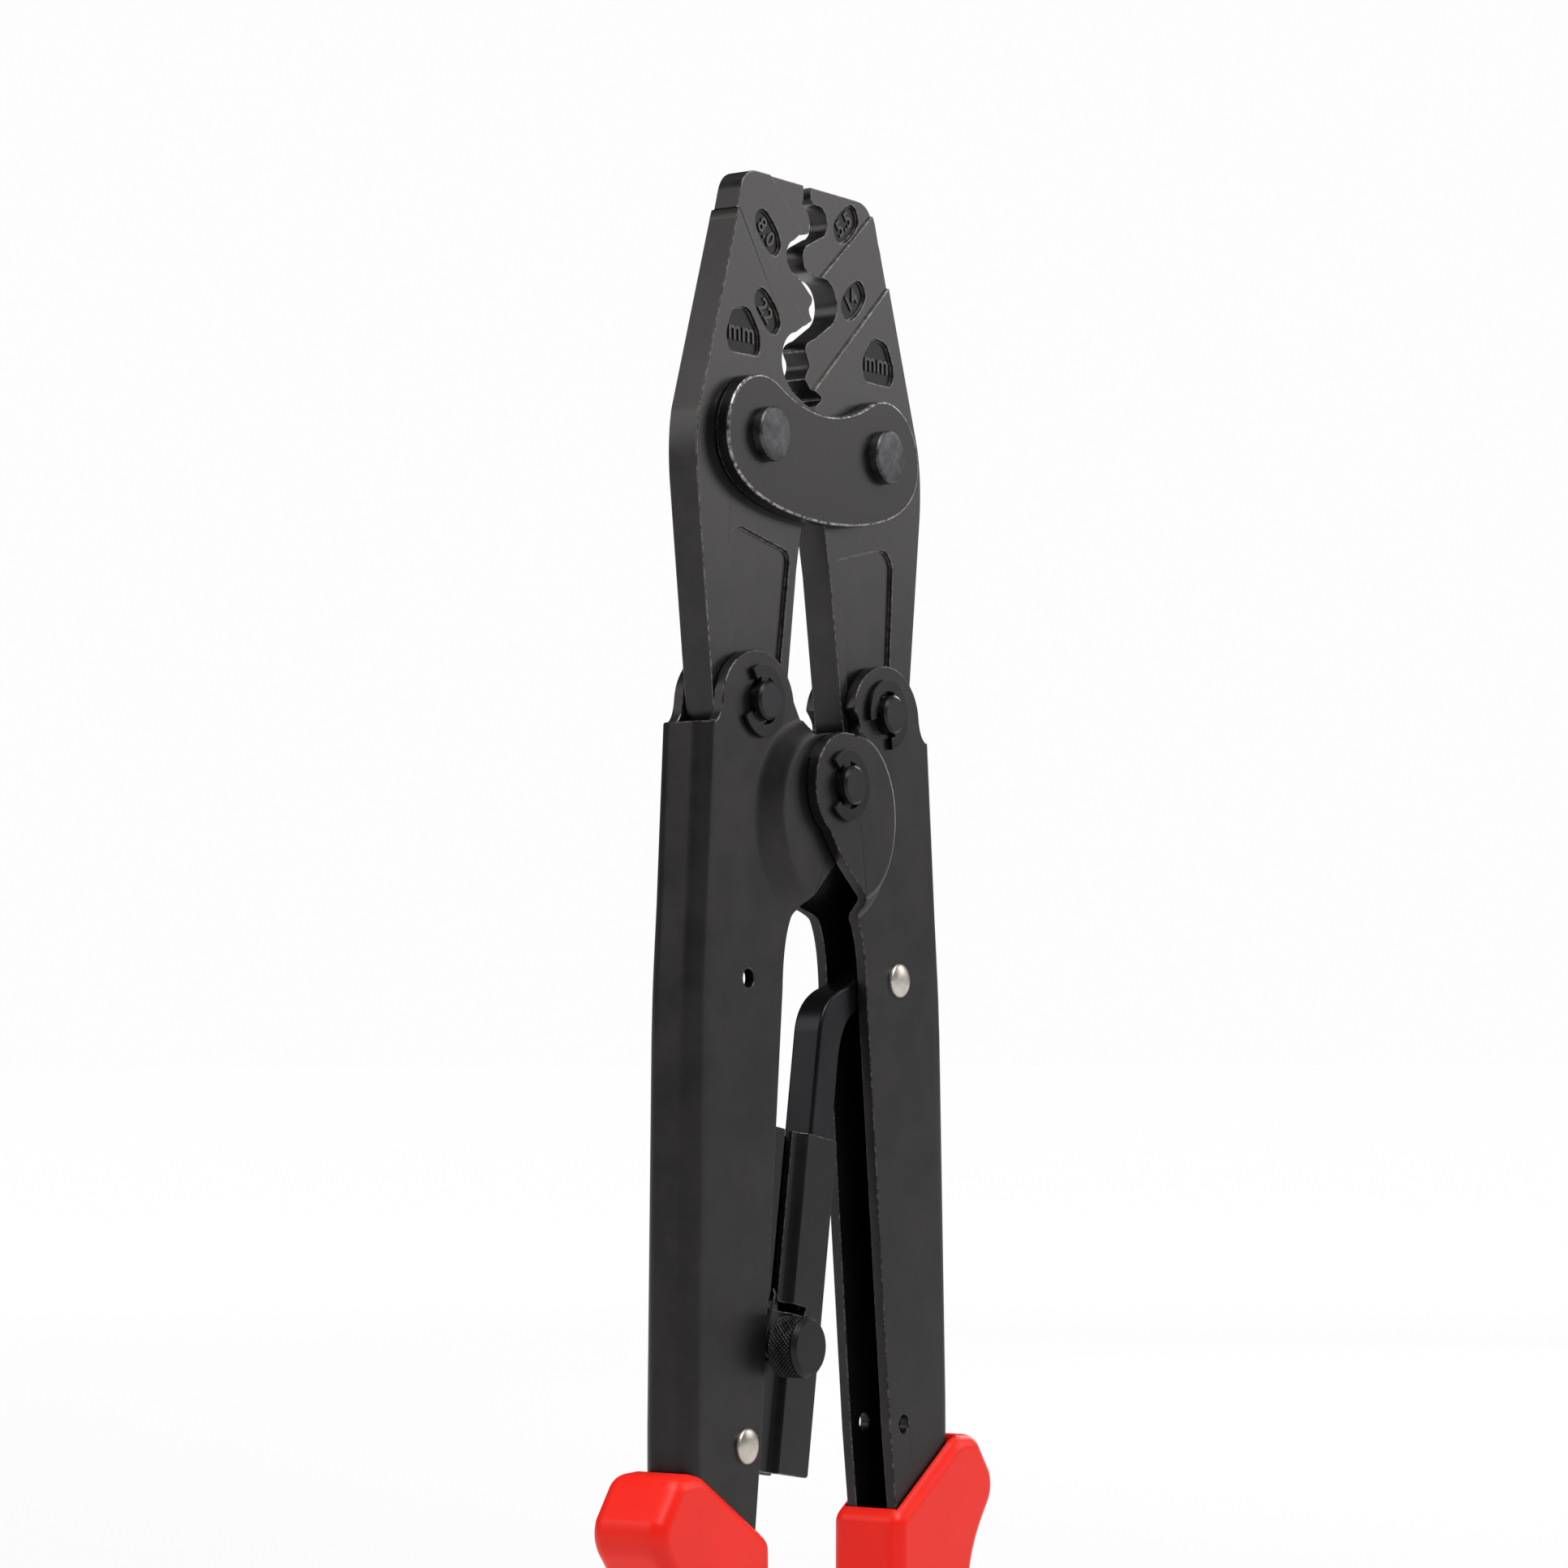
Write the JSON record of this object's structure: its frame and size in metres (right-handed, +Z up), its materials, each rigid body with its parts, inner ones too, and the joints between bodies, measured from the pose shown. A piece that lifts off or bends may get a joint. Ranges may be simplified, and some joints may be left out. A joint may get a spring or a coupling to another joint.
{
  "type": "ratchet crimping tool",
  "caption": "Two-handed ratchet crimping tool for bare cable terminals: stepped forged jaws in link plates, folded steel handles, sliding ratchet bar with release knob, red dipped grips.",
  "frame": {"origin": "centre of the bounding box's bottom, between the two grip ends, on the surface the tool stands on", "axes": "+Z up along the tool from the grips to the jaws, +X to the right across the handles, -Y to the front, where the release knob and the pin clips are"},
  "size_m": [0.1242, 0.0286, 0.37],
  "materials": {
    "blackened_sheet": "blackened folded steel, satin, worn bright at the cut edges",
    "blackened_forging": "blackened forged and ground steel, satin with fine mottling",
    "blackened_pins": "blackened hardened steel, satin",
    "bright_rivets": "nickel plated steel, satin",
    "spring_wire": "bright drawn spring wire",
    "red_grip": "dipped soft plastic, smooth with a satin gloss"
  },
  "bodies": {
    "link_plates": {"front_link_plate": "blackened_sheet", "rear_link_plate": "blackened_sheet", "left_link_pin": "blackened_pins", "right_link_pin": "blackened_pins"},
    "left_jaw_body": {"left_jaw": "blackened_forging", "left_jaw_pin": "blackened_pins", "left_pin_clip": "blackened_pins"},
    "right_jaw_body": {"right_jaw": "blackened_forging", "right_jaw_pin": "blackened_pins", "right_pin_clip": "blackened_pins"},
    "left_handle_body": {"left_handle": "blackened_sheet", "left_grip": "red_grip", "housing_rivet": "bright_rivets"},
    "right_handle_body": {"right_handle": "blackened_sheet", "right_grip": "red_grip", "centre_pin": "blackened_pins", "centre_pin_clip": "blackened_pins", "bar_rivet": "bright_rivets"},
    "bar_body": {"ratchet_bar": "blackened_forging"},
    "housing_body": {"ratchet_housing": "blackened_sheet", "pawl_spring": "spring_wire"},
    "knob_body": {"pawl": "blackened_pins", "pawl_shaft": "blackened_pins", "release_knob": "blackened_pins"}
  },
  "joints": [
    {"name": "left_jaw_hinge", "type": "hinge", "parent": "link_plates", "child": "left_jaw_body", "pos_m": [-0.0217, 0, 0.3152], "axis": [0, 1, 0], "range_deg": [-7.3, 1.3]},
    {"name": "right_jaw_hinge", "type": "hinge", "parent": "link_plates", "child": "right_jaw_body", "pos_m": [0.0217, 0, 0.3152], "axis": [0, -1, 0], "range_deg": [-7.3, 1.3]},
    {"name": "left_handle_hinge", "type": "hinge", "parent": "left_jaw_body", "child": "left_handle_body", "pos_m": [-0.0234, 0, 0.261], "axis": [0, -1, 0], "range_deg": [-27.4, 4.6]},
    {"name": "right_handle_hinge", "type": "hinge", "parent": "right_jaw_body", "child": "right_handle_body", "pos_m": [0.0234, 0, 0.261], "axis": [0, 1, 0], "range_deg": [-27.4, 4.6]},
    {"name": "bar_hinge", "type": "hinge", "parent": "right_handle_body", "child": "bar_body", "pos_m": [0.0279, 0, 0.2051], "axis": [0, -1, 0], "range_deg": [-47.6, 8.1]},
    {"name": "housing_slide", "type": "slide", "parent": "bar_body", "child": "housing_body", "axis": [0.1668, 0, 0.986], "range_m": [-0.0346, 0.0059]},
    {"name": "knob_hinge", "type": "hinge", "parent": "housing_body", "child": "knob_body", "pos_m": [-0.01647, 0, 0.13127], "axis": [0, 1, 0], "range_deg": [0, 22], "stiffness_Nm_per_rad": 0.05}
  ],
  "couplings": [
    {"joint": "left_jaw_hinge", "follows": "left_handle_hinge", "ratio": 0.262},
    {"joint": "right_jaw_hinge", "follows": "left_handle_hinge", "ratio": 0.262},
    {"joint": "right_handle_hinge", "follows": "left_handle_hinge", "ratio": 1},
    {"joint": "bar_hinge", "follows": "left_handle_hinge", "ratio": 1.7323},
    {"joint": "housing_slide", "follows": "left_handle_hinge", "m_per_rad": 0.07213}
  ]
}
